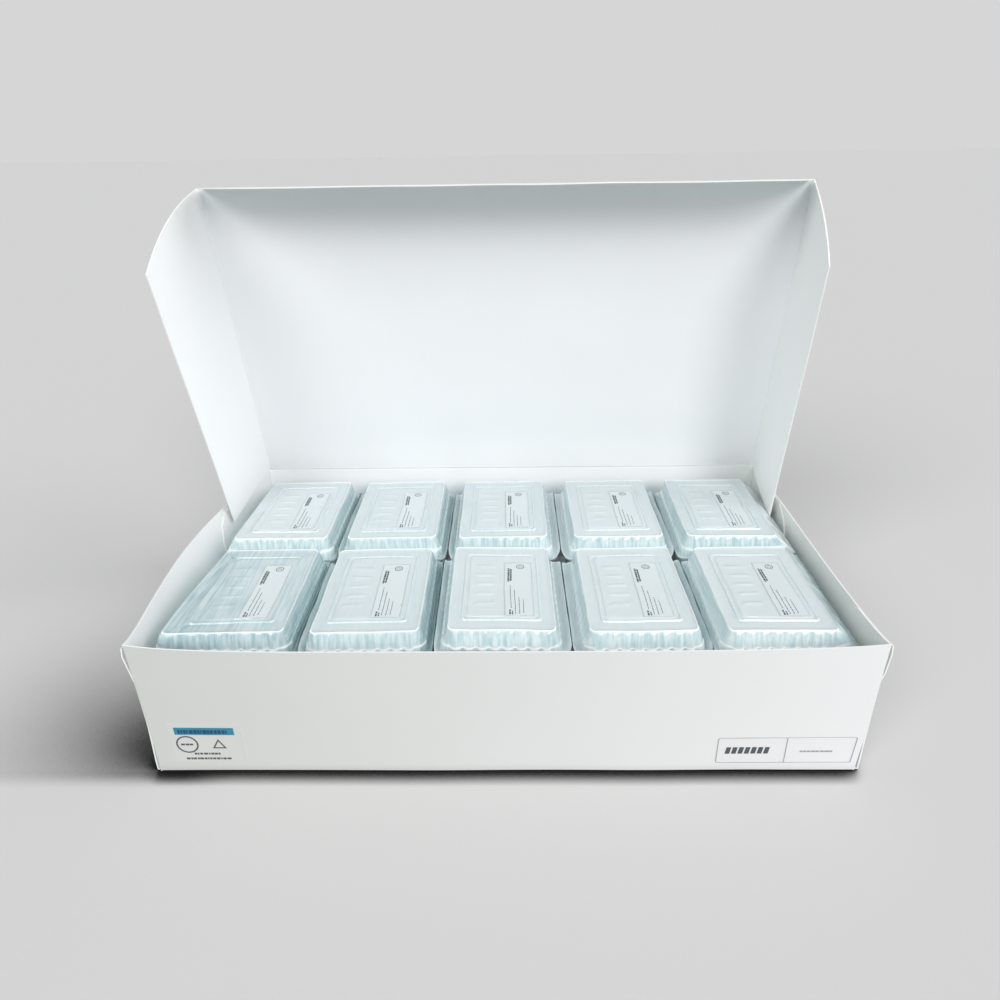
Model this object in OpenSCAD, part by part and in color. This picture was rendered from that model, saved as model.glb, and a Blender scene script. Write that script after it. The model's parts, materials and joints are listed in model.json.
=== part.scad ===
/* [Carton] */
// Outside width of the tray
carton_w = 500; // [496:1:540]
// Outside depth of the tray
carton_d = 284; // [282:1:320]
// Outside height of the tray walls
carton_h = 108; // [107:1:130]
// Thickness of the folding board
board = 1; // [0.8:0.1:1.2]
// How far the left wall bulges at its rim
left_bulge = 17; // [0:1:20]
// How far the front wall bulges at its rim
front_bulge = 3.5; // [0:0.5:8]

/* [Lid] */
// Forward lean of the open lid, from upright
lid_lean = 11.5; // [0:0.5:20]
// Depth of the two side flaps
flap_w = 85; // [70:1:86]
// Depth of the tuck flap
tuck_w = 50; // [40:1:52]
// Length of the tuck flap's free edge
tuck_edge = 380; // [300:10:400]
// Outward lean of the tuck flap, from square
tuck_lean = 14; // [10:1:16]

/* [Tip packs] */
// Height of a closed pack
pack_h = 103; // [102:0.5:104]
// Height of the seam between a pack's base and lid
seam_h = 85; // [80:1:88]
// Thickness of the formed film
film = 0.6; // [0.4:0.1:0.8]
// Length of a tip
tip_l = 88; // [80:1:88]
// Spacing of the tips, a fixed laboratory standard
pitch = 9; // [9:1:9]

/* [Hidden] */
packs = 10;
$fn = 32;

// Lid: its creases lie a hair off the edges that they join
crease = 0.1;
lid_w = carton_w - 7;
lid_l = carton_d - 2.5;
// Side flaps lean outwards by these angles from square, at the hinge end and at the front end
left_lean = [5.8, 12.3];
right_lean = [-5, -6];
// The curved front edge of a side flap: its radius, and its direction at the crease and at the point
nose_r = 161.6;
nose_from = 81.5;
nose_to = 47.7;

// Glued corner tabs: length, and the rounding of the free end's top corner
rear_tab = [103, 38, 28];
front_tab = [60, 22, 20];

// Tip pack, from its own base upwards
columns = 8;
rows = 12;
seam = [92, 124];
foot = [85, 118];
plateau = [75, 109];
panel = [56, 86];
flute_r = 3.2;
flute_h = 7;
ledge_h = 68;
rack_top = 79;
tip_from = rack_top + 14 - tip_l;

// Each pack's centre, its turn and its sideways tilt: front row, then back row, from the left
tilt_3 = 2;
places = [
    [-193.5, -65, 1.5, 0],
    [-99, -65, 1.8, 0],
    [-6.9, -65, 1.5, tilt_3],
    [95.5, -65, 1.2, 0],
    [191.5, -65, 0.2, 0],
    [-195, 62.5, 1.2, 0],
    [-101, 62.5, 1.2, 0],
    [-5, 62.5, 1.2, 0],
    [94, 62.5, 0.8, 0],
    [191, 62.5, -0.4, 0]
];

// Skins a row of closed outlines that all have the same number of points. Opposite sides are split
// along the same diagonal, so that a bent board keeps its thickness.
module skin(outlines) {
    n = len(outlines[0]);
    m = len(outlines);
    sides = [for (j = [0:m - 2]) for (i = [0:n - 1])
        let (k = (i + 1) % n, a = j*n + i, b = a + n, c = (j + 1)*n + k, d = c - n)
        each i < n/2 ? [[a, b, c], [a, c, d]] : [[a, b, d], [b, c, d]]];
    first = [for (i = [0:n - 1]) i];
    last = [for (i = [n - 1:-1:0]) (m - 1)*n + i];
    polyhedron([for (o = outlines) each o], concat([first], sides, [last]));
}

// Board walls: a wall bulges most at the middle of its rim and is straight at its foot
function bulge(amount, along, z) = amount*sin(180*along)*z/carton_h;

// A stretch of board along a side wall, from y0 to y1, between two depths behind the wall's outer
// face, that may round off towards its free end: [rounding along y, rounding along z]
function side_strip(amount, y0, y1, depths, low, rounding, steps) =
    let (dir = sign(y1 - y0), far = abs(y1 - y0))
    [for (i = [0:steps])
        let (
            d = far*i/steps,
            turned = max(0, (d - (far - rounding[0]))/max(rounding[0], 0.01)),
            top = carton_h - rounding[1]*(1 - sqrt(max(0, 1 - turned*turned))),
            y = y0 + dir*d,
            outer = carton_w/2 - depths[0],
            inner = carton_w/2 - depths[1]
        )
        [for (c = [[inner, low], [inner, top], [outer, top], [outer, low]])
            [c[0] + bulge(amount, y/carton_d + 0.5, c[1]), y, c[1]]]];

module side_wall(amount) {
    skin(side_strip(amount, -carton_d/2, carton_d/2, [0, board], 0, [0, 0], amount == 0 ? 1 : 16));
    corner_tab(amount, rear_tab, 1);
    corner_tab(amount, front_tab, -1);
}

// A tab folded off the front or rear wall and glued flat inside the side wall
module corner_tab(amount, tab, end) {
    bond = board/2;
    strip = side_strip(amount, end*(carton_d/2 - bond), end*(carton_d/2 - tab[0]), [bond, 2*board], bond,
        [tab[1], tab[2]], 14);
    skin([for (o = strip) end > 0 ? [o[3], o[2], o[1], o[0]] : o]);
}

module front_wall() {
    steps = 20;
    skin([for (i = [0:steps])
        let (x = carton_w*(i/steps - 0.5), y = -carton_d/2)
        [for (c = [[y, 0], [y + board, 0], [y + board, carton_h], [y, carton_h]])
            [x, c[0] - bulge(front_bulge, i/steps, c[1]), c[1]]]]);
}

module carton_tray() color("whitesmoke") {
    translate([-carton_w/2, -carton_d/2, 0]) cube([carton_w, carton_d, board]);
    translate([-carton_w/2, carton_d/2 - board, 0]) cube([carton_w, board, carton_h]);
    front_wall();
    side_wall(0);
    mirror([1, 0, 0]) side_wall(left_bulge);
}

// Puts the lid's own plane, with y from the hinge to the front and z inwards, in its open place
module opened() {
    translate([0, carton_d/2, carton_h + crease]) rotate([90 + lid_lean, 0, 0]) children();
}

module carton_lid() color("white") opened()
    translate([-lid_w/2, crease, -board]) cube([lid_w, lid_l - 2*crease, board]);

// The tuck flap's outline: straight crease, elliptical ends, straight free edge
module tuck_outline(crease_edge) {
    steps = 8;
    side = (crease_edge - tuck_edge)/2;
    right = [for (i = [0:steps]) let (a = 90*i/steps) [tuck_edge/2 + side*cos(a), tuck_w*sin(a)]];
    left = [for (i = [0:steps]) let (a = 90 - 90*i/steps) [-tuck_edge/2 - side*cos(a), tuck_w*sin(a)]];
    polygon(concat(right, left));
}

module tuck_flap() color("white") opened()
    translate([0, lid_l, 0]) rotate([90 - tuck_lean, 0, 0]) translate([0, crease, -board])
        linear_extrude(board) tuck_outline(lid_w - 7);

// A side flap as sections from the hinge to the front: the board leans out by a growing angle
function nose(a) = [nose_r*(sin(nose_from) - sin(a)), nose_r*(cos(a) - cos(nose_from))];
function flap_stations() =
    let (
        point = nose(nose_to),
        scale_n = flap_w/point[1],
        back = 2,
        straight = 6,
        curve = 8
    )
    concat(
        [for (i = [0:straight]) [back + (lid_l - point[0] - back)*i/straight, flap_w]],
        [for (i = [1:curve]) let (p = nose(nose_to + (nose_from - nose_to)*i/curve))
            [lid_l - crease - p[0], max(p[1]*scale_n, 1)]]
    );

module side_flap(lean) {
    skin([for (s = flap_stations())
        let (
            angle = lean[0] + (lean[1] - lean[0])*s[0]/lid_l,
            x = lid_w/2,
            out = s[1]*tan(angle)
        )
        [[x, s[0], crease], [x + out, s[0], s[1]], [x + out + board, s[0], s[1]], [x + board, s[0], crease]]]);
}

module lid_flap_right() color("white") opened() side_flap(right_lean);
module lid_flap_left() color("white") opened() mirror([1, 0, 0]) side_flap(left_lean);

// A paper label on the front wall, low down at the left: a slice of the wall's own face, moved out
module carton_label() color("azure") {
    paper = 0.2;
    left = -236;
    foot_z = 9;
    difference() {
        intersection() {
            translate([0, -paper, 0]) front_wall();
            translate([left, -carton_d, foot_z]) cube([50, carton_d, 35]);
        }
        front_wall();
    }
}

// A rounded rectangle as points, and as an exact plate
function corner(x, y, r, from) = [for (i = [0:3]) [x + r*cos(from + 30*i), y + r*sin(from + 30*i)]];
function rounded(w, l, r) = concat(
    corner(w/2 - r, l/2 - r, r, 0),
    corner(-w/2 + r, l/2 - r, r, 90),
    corner(-w/2 + r, -l/2 + r, r, 180),
    corner(w/2 - r, -l/2 + r, r, 270));
module plate(w, l, r, h) {
    linear_extrude(h) union() {
        square([w - 2*r, l], center = true);
        square([w, l - 2*r], center = true);
        for (x = [-1, 1], y = [-1, 1]) translate([x*(w/2 - r), y*(l/2 - r)]) circle(r);
    }
}

// A formed shell's outer surface: rings of width, length, corner radius and height, bottom up
module formed(rings) {
    skin([for (s = rings) [for (p = rounded(s[0], s[1], s[2])) [p[0], p[1], s[3]]]]);
}
function inset(rings, t) = [for (s = rings) [s[0] - 2*t, s[1] - 2*t, max(s[2] - t, 0.5), s[3]]];

// Half-round flutes all round the foot of a pack's lid, one to each row and column of tips
module flutes(r, h) {
    sink = 2;
    for (s = [-1, 1]) {
        for (i = [0:columns - 1])
            translate([(i - (columns - 1)/2)*pitch, s*(foot[1]/2 - sink), seam_h]) cylinder(r = r, h = h);
        for (i = [0:rows - 1])
            translate([s*(foot[0]/2 - sink), (i - (rows - 1)/2)*pitch, seam_h]) cylinder(r = r, h = h);
    }
}

function lid_rings(low) = [
    [foot[0], foot[1], 9, low],
    [plateau[0] + 5, plateau[1] + 5, 8, pack_h - 5],
    [plateau[0] + 3, plateau[1] + 3, 7.5, pack_h - 1.5],
    [plateau[0], plateau[1], 6, pack_h]
];

module pack_lid() color("lightcyan") {
    rise = 0.9;
    overlap = 0.3;
    ribs = 5;
    difference() {
        union() {
            formed(lid_rings(seam_h));
            flutes(flute_r, flute_h);
            translate([0, 0, seam_h]) plate(seam[0], seam[1], 6, film);
            translate([0, 0, pack_h - overlap]) plate(panel[0], panel[1], 4, rise + overlap);
            for (i = [0:ribs - 1])
                translate([-12.5, (i - (ribs - 1)/2)*12, pack_h + rise - overlap]) plate(14, 3.4, 1.6, 0.7 + overlap);
        }
        translate([0, 0, -film]) formed(inset(lid_rings(seam_h - 1), film));
        translate([0, 0, -overlap]) flutes(flute_r - film, flute_h - film + overlap);
    }
}

base_rings = [
    [70, 103, 6, 0],
    [74, 107, 8, 2],
    [77.5, 110.5, 8, ledge_h],
    [83, 116, 9, ledge_h],
    [84.5, 117.5, 9, seam_h]
];

module pack_base() color("powderblue") difference() {
    union() {
        formed(base_rings);
        translate([0, 0, seam_h - film]) plate(seam[0], seam[1], 6, film);
    }
    translate([0, 0, film]) formed(inset(base_rings, film));
}

module at_wells() {
    for (i = [0:columns - 1], j = [0:rows - 1])
        translate([(i - (columns - 1)/2)*pitch, (j - (rows - 1)/2)*pitch, 0]) children();
}

// The rack that the tips hang in: a holed plate with a skirt that stands on the base's ledge
module tip_rack() color("white") {
    rack_foot = ledge_h + film;
    top = 1.2;
    difference() {
        translate([0, 0, rack_foot]) plate(81, 114, 9, rack_top - rack_foot);
        translate([0, 0, rack_foot - 1]) plate(78, 111, 7.5, rack_top - rack_foot + 1 - top);
        at_wells() translate([0, 0, rack_foot]) cylinder(r = 3.75, h = rack_top);
    }
}

// One tip: a slim cone below the rack and a collar that rests on it
tip_profile = [
    [0.4, tip_from],
    [0.7, tip_from],
    [2.4, rack_top - 30],
    [3.3, rack_top],
    [4.1, rack_top],
    [4.1, tip_from + tip_l],
    [3.5, tip_from + tip_l],
    [3, rack_top]
];
module tips() color("ivory") at_wells() rotate_extrude() polygon(tip_profile);

module pack_label() color("ghostwhite") translate([12.5, -5, pack_h + 0.9]) plate(21, 69, 1, 0.15);

// Sets one pack on the tray's floor, tilted up about one long edge of its base
module placed(i) {
    p = places[i - 1];
    translate([p[0], p[1], board + base_rings[0][0]/2*sin(p[3])]) rotate([0, p[3], p[2]]) children();
}

carton_tray();
carton_lid();
tuck_flap();
lid_flap_left();
lid_flap_right();
carton_label();
for (i = [1:packs]) {
    placed(i) pack_base();
    placed(i) pack_lid();
    placed(i) tip_rack();
    placed(i) tips();
    placed(i) pack_label();
}
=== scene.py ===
"""An open carton of pipette tips: ten clear formed packs in a folded board tray with a hinged lid."""
import json
import math

import bpy
import numpy as np
from mathutils import Euler, Matrix, Vector, noise


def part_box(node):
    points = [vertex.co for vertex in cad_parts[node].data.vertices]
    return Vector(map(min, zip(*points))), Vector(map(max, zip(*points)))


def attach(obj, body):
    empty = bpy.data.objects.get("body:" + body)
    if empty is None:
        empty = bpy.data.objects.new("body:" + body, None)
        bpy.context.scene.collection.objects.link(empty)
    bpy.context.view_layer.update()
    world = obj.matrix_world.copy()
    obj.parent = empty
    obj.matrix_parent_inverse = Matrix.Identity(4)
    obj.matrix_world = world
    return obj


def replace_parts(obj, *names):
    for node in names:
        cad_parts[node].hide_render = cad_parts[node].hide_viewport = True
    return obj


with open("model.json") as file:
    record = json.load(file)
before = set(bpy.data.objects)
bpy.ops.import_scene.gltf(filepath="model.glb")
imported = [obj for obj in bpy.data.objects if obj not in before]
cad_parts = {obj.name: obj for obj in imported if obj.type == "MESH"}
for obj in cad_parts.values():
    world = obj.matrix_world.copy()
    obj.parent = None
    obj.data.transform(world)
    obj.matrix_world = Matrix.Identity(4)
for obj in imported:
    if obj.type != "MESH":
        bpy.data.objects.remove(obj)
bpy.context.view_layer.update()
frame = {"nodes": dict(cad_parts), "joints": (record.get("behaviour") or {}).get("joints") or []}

MM = 0.001
PACKS = range(1, 11)
FRONT_ROW = range(1, 6)

# ---- sizes, in millimetres, from the frame
tray_low, tray_high = (np.array(c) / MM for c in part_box("carton_tray"))
HALF_W, HALF_D, RIM = tray_high
LEFT_BULGE = -tray_low[0] - HALF_W
FRONT_BULGE = -tray_low[1] - HALF_D
BOARD = 1.0
FOLD = 1.2

joints = {j["name"]: j for j in frame["joints"]}
hinge = np.array(joints["lid_hinge"]["pos_m"]) / MM
tuck_line = np.array(joints["tuck_crease"]["pos_m"]) / MM
side_line = np.array(joints["right_crease"]["pos_m"]) / MM
LID_L = np.linalg.norm(tuck_line - hinge)
LID_UP = (tuck_line - hinge) / LID_L
LID_IN = np.cross((1.0, 0.0, 0.0), LID_UP)
LID_HALF = side_line[0]
FLAP_W = 85.0
TUCK_W = 50.0
# Half the tuck flap's width at its crease and at its free edge
TUCK_HALF, TUCK_EDGE = LID_HALF - 3.5, 190.0
TUCK_GAP = 0.6
TUCK_LEAN = math.radians(14)
# How far each side flap leans out, in degrees, at the hinge and at the lid's front
LEFT_LEAN = (5.8, 12.3)
RIGHT_LEAN = (-5.0, -6.0)
# A corner tab's length, and how far along and down its free corner is rounded
REAR_TAB = (103.0, 38.0, 28.0)
FRONT_TAB = (60.0, 22.0, 20.0)
CREASE_GAP = 0.1

# A pack in its own frame: centre of its base, z up
SEAM_H = 85.0
PACK_H = 103.0
PITCH = 9.0
COLUMNS, ROWS = 8, 12
TIP_TOP = 93.0
FILM_THICK = 0.45
TURNS = (1.5, 1.8, 1.5, 1.2, 0.2, 1.2, 1.2, 1.2, 0.8, -0.4)
TILTS = (0, 0, 2, 0, 0, 0, 0, 0, 0, 0)
BASE_HALF = 35.0


# ---- scene and node helpers
def placed(name, data):
    """A new object in the scene."""
    made = bpy.data.objects.new(name, data)
    bpy.context.scene.collection.objects.link(made)
    return made


def put(node, **values):
    """Sets a node's own inputs; an underscore stands for a blank in an input's name."""
    for label, value in values.items():
        node.inputs[label.replace("_", " ")].default_value = value


def calc(tree, operation, *values):
    """A maths node over sockets and plain numbers."""
    node = tree.nodes.new("ShaderNodeMath")
    node.operation = operation
    for socket, value in zip(node.inputs, values):
        if isinstance(value, float):
            socket.default_value = value
        else:
            tree.links.new(value, socket)
    return node.outputs[0]


def blend(tree, factor, low, high, mode="MIX"):
    """A mix of two colours or sockets."""
    mix = tree.nodes.new("ShaderNodeMix")
    mix.data_type = "RGBA"
    mix.blend_type = mode
    tree.links.new(factor, mix.inputs["Factor"])
    for label, value in (("A", low), ("B", high)):
        if isinstance(value, tuple):
            mix.inputs[label].default_value = (*value, 1)
        else:
            tree.links.new(value, mix.inputs[label])
    return mix.outputs["Result"]


def mixed(tree, factor, first, second, end):
    """Two shaders mixed into an end node's surface."""
    mix = tree.nodes.new("ShaderNodeMixShader")
    for value, socket in zip((factor, first, second), mix.inputs):
        tree.links.new(value, socket)
    tree.links.new(mix.outputs[0], end.inputs["Surface"])


def stepped(tree, value, start, end, smooth="LINEAR"):
    """A value's way from 0 at the start to 1 at the end."""
    node = tree.nodes.new("ShaderNodeMapRange")
    node.interpolation_type = smooth
    put(node, From_Min=start, From_Max=end)
    tree.links.new(value, node.inputs["Value"])
    return node.outputs["Result"]


def parted(tree, vector, axis):
    """One part of a vector."""
    node = tree.nodes.new("ShaderNodeSeparateXYZ")
    tree.links.new(vector, node.inputs[0])
    return node.outputs[axis]


def zone(tree, axis, start, end, smooth="SMOOTHSTEP"):
    """A step over the object's own axis, 0 at the start and 1 at the end."""
    coord = tree.nodes.new("ShaderNodeTexCoord")
    return stepped(tree, parted(tree, coord.outputs["Object"], axis), start, end, smooth)


def noise_mask(tree, vector, scale, detail, distortion=0.0):
    """A noise texture's value over the given coordinates."""
    node = tree.nodes.new("ShaderNodeTexNoise")
    put(node, Detail=detail, Distortion=distortion)
    tree.links.new(vector, node.inputs["Vector"])
    tree.links.new(scale, node.inputs["Scale"])
    return node.outputs["Fac"]


# ---- camera and light
LENS = {"sensor_width": 36.0, "lens": 25.35, "shift_x": -0.0124, "shift_y": -0.0544, "clip_start": 0.01}
CAMERA_AT = Vector((14.3, -515.0, 410.9))
CAMERA_RIGHT = Vector((0.99983, 0.01150, -0.01414))
CAMERA_UP = Vector((0.00852, 0.39064, 0.92050))


def set_camera():
    camera = placed("view", bpy.data.cameras.new("view"))
    for label, value in LENS.items():
        setattr(camera.data, label, value)
    back = CAMERA_RIGHT.cross(CAMERA_UP)
    matrix = Matrix((CAMERA_RIGHT, CAMERA_UP, back)).transposed().to_4x4()
    matrix.translation = CAMERA_AT * MM
    camera.matrix_world = matrix
    bpy.context.scene.camera = camera


def sun(name, azimuth, elevation, strength, spread, colour=(1, 1, 1)):
    """A soft distant lamp; azimuth 0 stands in front of the carton and 90 at its right."""
    data = bpy.data.lights.new(name, "SUN")
    data.energy = strength
    data.angle = math.radians(spread)
    data.color = colour
    lamp = placed(name, data)
    lamp.rotation_euler = Euler((math.radians(90 - elevation), 0, math.radians(azimuth)))


BACKDROP = (0.672, 0.672, 0.672)
SKY_COLOUR, SKY = (0.96, 0.98, 1.0), 0.52


def set_sky():
    """An even pale sky; the view, mirrors and clear film see the backdrop's own colour instead."""
    world = bpy.data.worlds.new("studio")
    bpy.context.scene.world = world
    world.use_nodes = True
    tree = world.node_tree
    tree.nodes.clear()
    path = tree.nodes.new("ShaderNodeLightPath").outputs
    seen = calc(tree, "MAXIMUM", path["Is Camera Ray"], path["Is Glossy Ray"])
    seen = calc(tree, "MAXIMUM", seen, path["Is Transmission Ray"])
    lit = tree.nodes.new("ShaderNodeBackground")
    put(lit, Color=(*SKY_COLOUR, 1), Strength=SKY)
    shown = tree.nodes.new("ShaderNodeBackground")
    put(shown, Color=(*BACKDROP, 1))
    mixed(tree, seen, lit.outputs[0], shown.outputs[0], tree.nodes.new("ShaderNodeOutputWorld"))


def set_light():
    set_sky()
    sun("key", azimuth=24, elevation=28, strength=1.22, spread=24, colour=(1.0, 0.995, 0.98))
    sun("fill", azimuth=-38, elevation=35, strength=1.2, spread=30)
    sun("side", azimuth=76, elevation=34, strength=1.05, spread=36)


# ---- mesh helpers
def new_piece(name, verts, faces, materials, body, smooth=40, kinds=None):
    """A mesh object at the origin, from points in millimetres; kinds gives each face its material."""
    mesh = bpy.data.meshes.new(name)
    mesh.from_pydata([tuple(c * MM for c in v) for v in verts], [], faces)
    for material in materials:
        mesh.materials.append(material)
    mesh.polygons.foreach_set("use_smooth", [True] * len(mesh.polygons))
    if kinds is not None:
        mesh.polygons.foreach_set("material_index", kinds)
    mesh.set_sharp_from_angle(angle=math.radians(smooth))
    mesh.validate()
    piece = placed(name, mesh)
    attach(piece, body)
    return piece


def grid_normals(grid):
    du = np.gradient(grid, axis=0)
    dv = np.gradient(grid, axis=1)
    normal = np.cross(du, dv)
    return normal / np.maximum(np.linalg.norm(normal, axis=2, keepdims=True), 1e-9)


def thick_sheets(grids, thickness=BOARD):
    """Closed boards: each grid is one face of a board, whose thickness goes against the face's normal.
    Returns points, faces and each face's kind: 0 for the grids, 1 for the far faces, 2 for the cut edges."""
    verts, broad, edges = [], [], []
    for grid in grids:
        m, n = grid.shape[:2]
        spots = np.arange(m * n).reshape(m, n) + len(verts)
        far = m * n
        verts += [*grid.reshape(-1, 3), *(grid - thickness * grid_normals(grid)).reshape(-1, 3)]
        corners = (spots[:-1, :-1], spots[1:, :-1], spots[1:, 1:], spots[:-1, 1:])
        for a, b, c, d in zip(*(corner.ravel().tolist() for corner in corners)):
            broad += [(a, b, c, d), (d + far, c + far, b + far, a + far)]
        rim = [*spots[:, 0], *spots[-1, 1:], *spots[-2::-1, -1], *spots[0, -2:0:-1]]
        rim = [int(spot) for spot in rim]
        edges += [(b, a, a + far, b + far) for a, b in zip(rim, rim[1:] + rim[:1])]
    return verts, broad + edges, [0, 1] * (len(broad) // 2) + [2] * len(edges)


def wobble(point, size, amount, seed=0.0):
    """A slow random wave over space, in millimetres."""
    p = Vector(point) / size + Vector((seed, 1.7 * seed, 0.3 * seed))
    return amount * noise.noise(p)


def ease(t):
    return math.sin(min(max(t, 0.0), 1.0) * math.pi / 2)


# ---- materials
def socket_group(name, inputs, outputs):
    """A shader node group with named float sockets; returns it with its inside ends."""
    group = bpy.data.node_groups.new(name, "ShaderNodeTree")
    for label, value in inputs.items():
        made = group.interface.new_socket(label, in_out="INPUT", socket_type="NodeSocketFloat")
        made.default_value = value
    for label in outputs:
        group.interface.new_socket(label, in_out="OUTPUT", socket_type="NodeSocketFloat")
    return group, group.nodes.new("NodeGroupInput").outputs, group.nodes.new("NodeGroupOutput").inputs


def make_grain_group():
    """Cloudy mottling and fine fibres over object space: a mask for colour and a height for bump."""
    group, ins, outs = socket_group("surface grain", {"Cloud Scale": 20.0, "Fibre Scale": 900.0},
                                    ("Cloud", "Fibre"))
    coord = group.nodes.new("ShaderNodeTexCoord").outputs["Object"]
    group.links.new(noise_mask(group, coord, ins["Cloud Scale"], 3.0), outs["Cloud"])
    group.links.new(noise_mask(group, coord, ins["Fibre Scale"], 2.0, 0.6), outs["Fibre"])
    return group


def make_reflection_streak_group():
    """Long soft streaks of painted reflection down and along whatever stands up, and how far a surface lies
    flat.
    """
    group, ins, outs = socket_group("film reflection streaks", {"Fineness": 420.0}, ("Streak", "Flat"))
    weave = group.nodes.new("ShaderNodeUVMap")
    weave.uv_map = "weave"
    streak = noise_mask(group, weave.outputs["UV"], ins["Fineness"], 2.5, 0.25)
    group.links.new(stepped(group, streak, 0.36, 0.60), outs["Streak"])
    geometry = group.nodes.new("ShaderNodeNewGeometry")
    upright = calc(group, "ABSOLUTE", parted(group, geometry.outputs["Normal"], "Z"))
    group.links.new(stepped(group, upright, 0.25, 0.9), outs["Flat"])
    return group


GRAIN = make_grain_group()
REFLECTION_STREAKS = make_reflection_streak_group()


def shaded(name, light, dark, roughness, cloud_scale=20.0, fibre_scale=900.0, bump=0.1, **sockets):
    """A Principled material whose colour drifts between two tones, with a fine bump."""
    material = bpy.data.materials.new(name)
    material.use_nodes = True
    tree = material.node_tree
    shader = tree.nodes["Principled BSDF"]
    put(shader, **sockets)
    grain = tree.nodes.new("ShaderNodeGroup")
    grain.node_tree = GRAIN
    put(grain, Cloud_Scale=cloud_scale, Fibre_Scale=fibre_scale)
    cloud = grain.outputs["Cloud"]
    tree.links.new(blend(tree, cloud, dark, light), shader.inputs["Base Color"])
    rough = tree.nodes.new("ShaderNodeMapRange")
    put(rough, To_Min=roughness - 0.06, To_Max=roughness + 0.06)
    tree.links.new(cloud, rough.inputs["Value"])
    tree.links.new(rough.outputs["Result"], shader.inputs["Roughness"])
    relief = tree.nodes.new("ShaderNodeBump")
    put(relief, Strength=bump, Distance=0.0002)
    tree.links.new(grain.outputs["Fibre"], relief.inputs["Height"])
    tree.links.new(relief.outputs["Normal"], shader.inputs["Normal"])
    return material


# Painted shade on the film, streaked between these two tones
PAINTED_SHADE_LIGHT, PAINTED_SHADE_DARK = (0.56, 0.67, 0.685), (0.36, 0.51, 0.545)
# The white of the film's painted highlights
PAINTED_HIGHLIGHT = (0.97, 0.99, 0.99)
FILM_SHADE, FILM_PASSES = (0.93, 0.98, 0.98), 0.75


def film_material(name, top, side_light, side_dark, roughness, clearness):
    """Clear formed film, painted pale where it lies flat and streaked blue-green where it stands up, for how
    each catches the light.
    A point attribute whitens it above zero, a painted highlight, and darkens it below zero, painted shade."""
    material = shaded(name, top, tuple(0.96 * c for c in top), roughness, 45.0, 260.0, 0.12,
                      IOR=1.5, Transmission_Weight=clearness)
    tree = material.node_tree
    shader = tree.nodes["Principled BSDF"]
    flat_tone = shader.inputs["Base Color"].links[0].from_socket
    streaks = tree.nodes.new("ShaderNodeGroup")
    streaks.node_tree = REFLECTION_STREAKS
    streak = streaks.outputs["Streak"]
    tone = blend(tree, streaks.outputs["Flat"], blend(tree, streak, side_dark, side_light), flat_tone)
    highlight_shade = tree.nodes.new("ShaderNodeAttribute")
    highlight_shade.attribute_name = "highlight_shade"
    shade_share = calc(tree, "MULTIPLY", highlight_shade.outputs["Fac"], -1.0)
    tone = blend(tree, shade_share, tone, blend(tree, streak, PAINTED_SHADE_DARK, PAINTED_SHADE_LIGHT))
    tone = blend(tree, highlight_shade.outputs["Fac"], tone, PAINTED_HIGHLIGHT)
    tree.links.new(tone, shader.inputs["Base Color"])
    pass_light(tree, shader)
    return material


def pass_light(tree, shader):
    """Lets most of the lamps' light through, as thin clear film does."""
    path = tree.nodes.new("ShaderNodeLightPath")
    through = tree.nodes.new("ShaderNodeBsdfTransparent")
    put(through, Color=(*FILM_SHADE, 1))
    share = calc(tree, "MULTIPLY", path.outputs["Is Shadow Ray"], FILM_PASSES)
    mixed(tree, share, shader.outputs["BSDF"], through.outputs[0], tree.nodes["Material Output"])


def shade_along(material, axis, start, end, tint):
    """Painted shade: the board's white is darkened towards a tint along one of its axes."""
    tree = material.node_tree
    base = tree.nodes["Principled BSDF"].inputs["Base Color"]
    share = zone(tree, axis, start, end, "LINEAR")
    tree.links.new(blend(tree, share, base.links[0].from_socket, tint, "MULTIPLY"), base)


def board(name, light, dark, roughness=0.55):
    return shaded(name, light, dark, roughness, cloud_scale=14.0, fibre_scale=700.0, bump=0.12)


def ink(name, light, dark, roughness=0.6, cloud_scale=200.0):
    return shaded(name, light, dark, roughness, cloud_scale, fibre_scale=1500.0, bump=0.05)


BOARD_OUTSIDE_SHADED = board("board_outside_painted_shade", (0.795, 0.805, 0.81), (0.775, 0.785, 0.79), 0.45)
# Painted shade: the board's outside darkens towards its left end.
shade_along(BOARD_OUTSIDE_SHADED, "X", 0.27, -0.27, (0.705, 0.715, 0.675))
# The flaps' inside is a lighter copy of the lid's board, painted light; towards the right it darkens,
# painted shade on the right flap.
FLAP_INSIDE_LIT_AND_SHADED = board("flap_inside_painted_light_and_shade", (0.95, 0.955, 0.96), (0.925, 0.935, 0.94))
shade_along(FLAP_INSIDE_LIT_AND_SHADED, "X", 0.15, 0.25, (0.92, 0.93, 0.91))
LID_INSIDE_SHADED = board("lid_inside_painted_shade", (0.855, 0.87, 0.885), (0.83, 0.845, 0.86))
# Painted shade: a faint green-grey darkening towards the lid's top edge, below the tuck flap.
shade_along(LID_INSIDE_SHADED, "Z", 0.360, 0.384, (0.955, 1.0, 0.985))
TRAY_INSIDE_SHADED = board("tray_inside_painted_shade", (0.915, 0.92, 0.925), (0.89, 0.895, 0.905))
# Painted shade: the tray's inside darkens towards its right wall, and low down it takes a faint blue-green,
# painted shade from the packs.
shade_along(TRAY_INSIDE_SHADED, "X", 0.22, 0.249, (0.80, 0.84, 0.80))
shade_along(TRAY_INSIDE_SHADED, "Z", 0.094, 0.084, (0.95, 1.0, 1.0))
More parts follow.
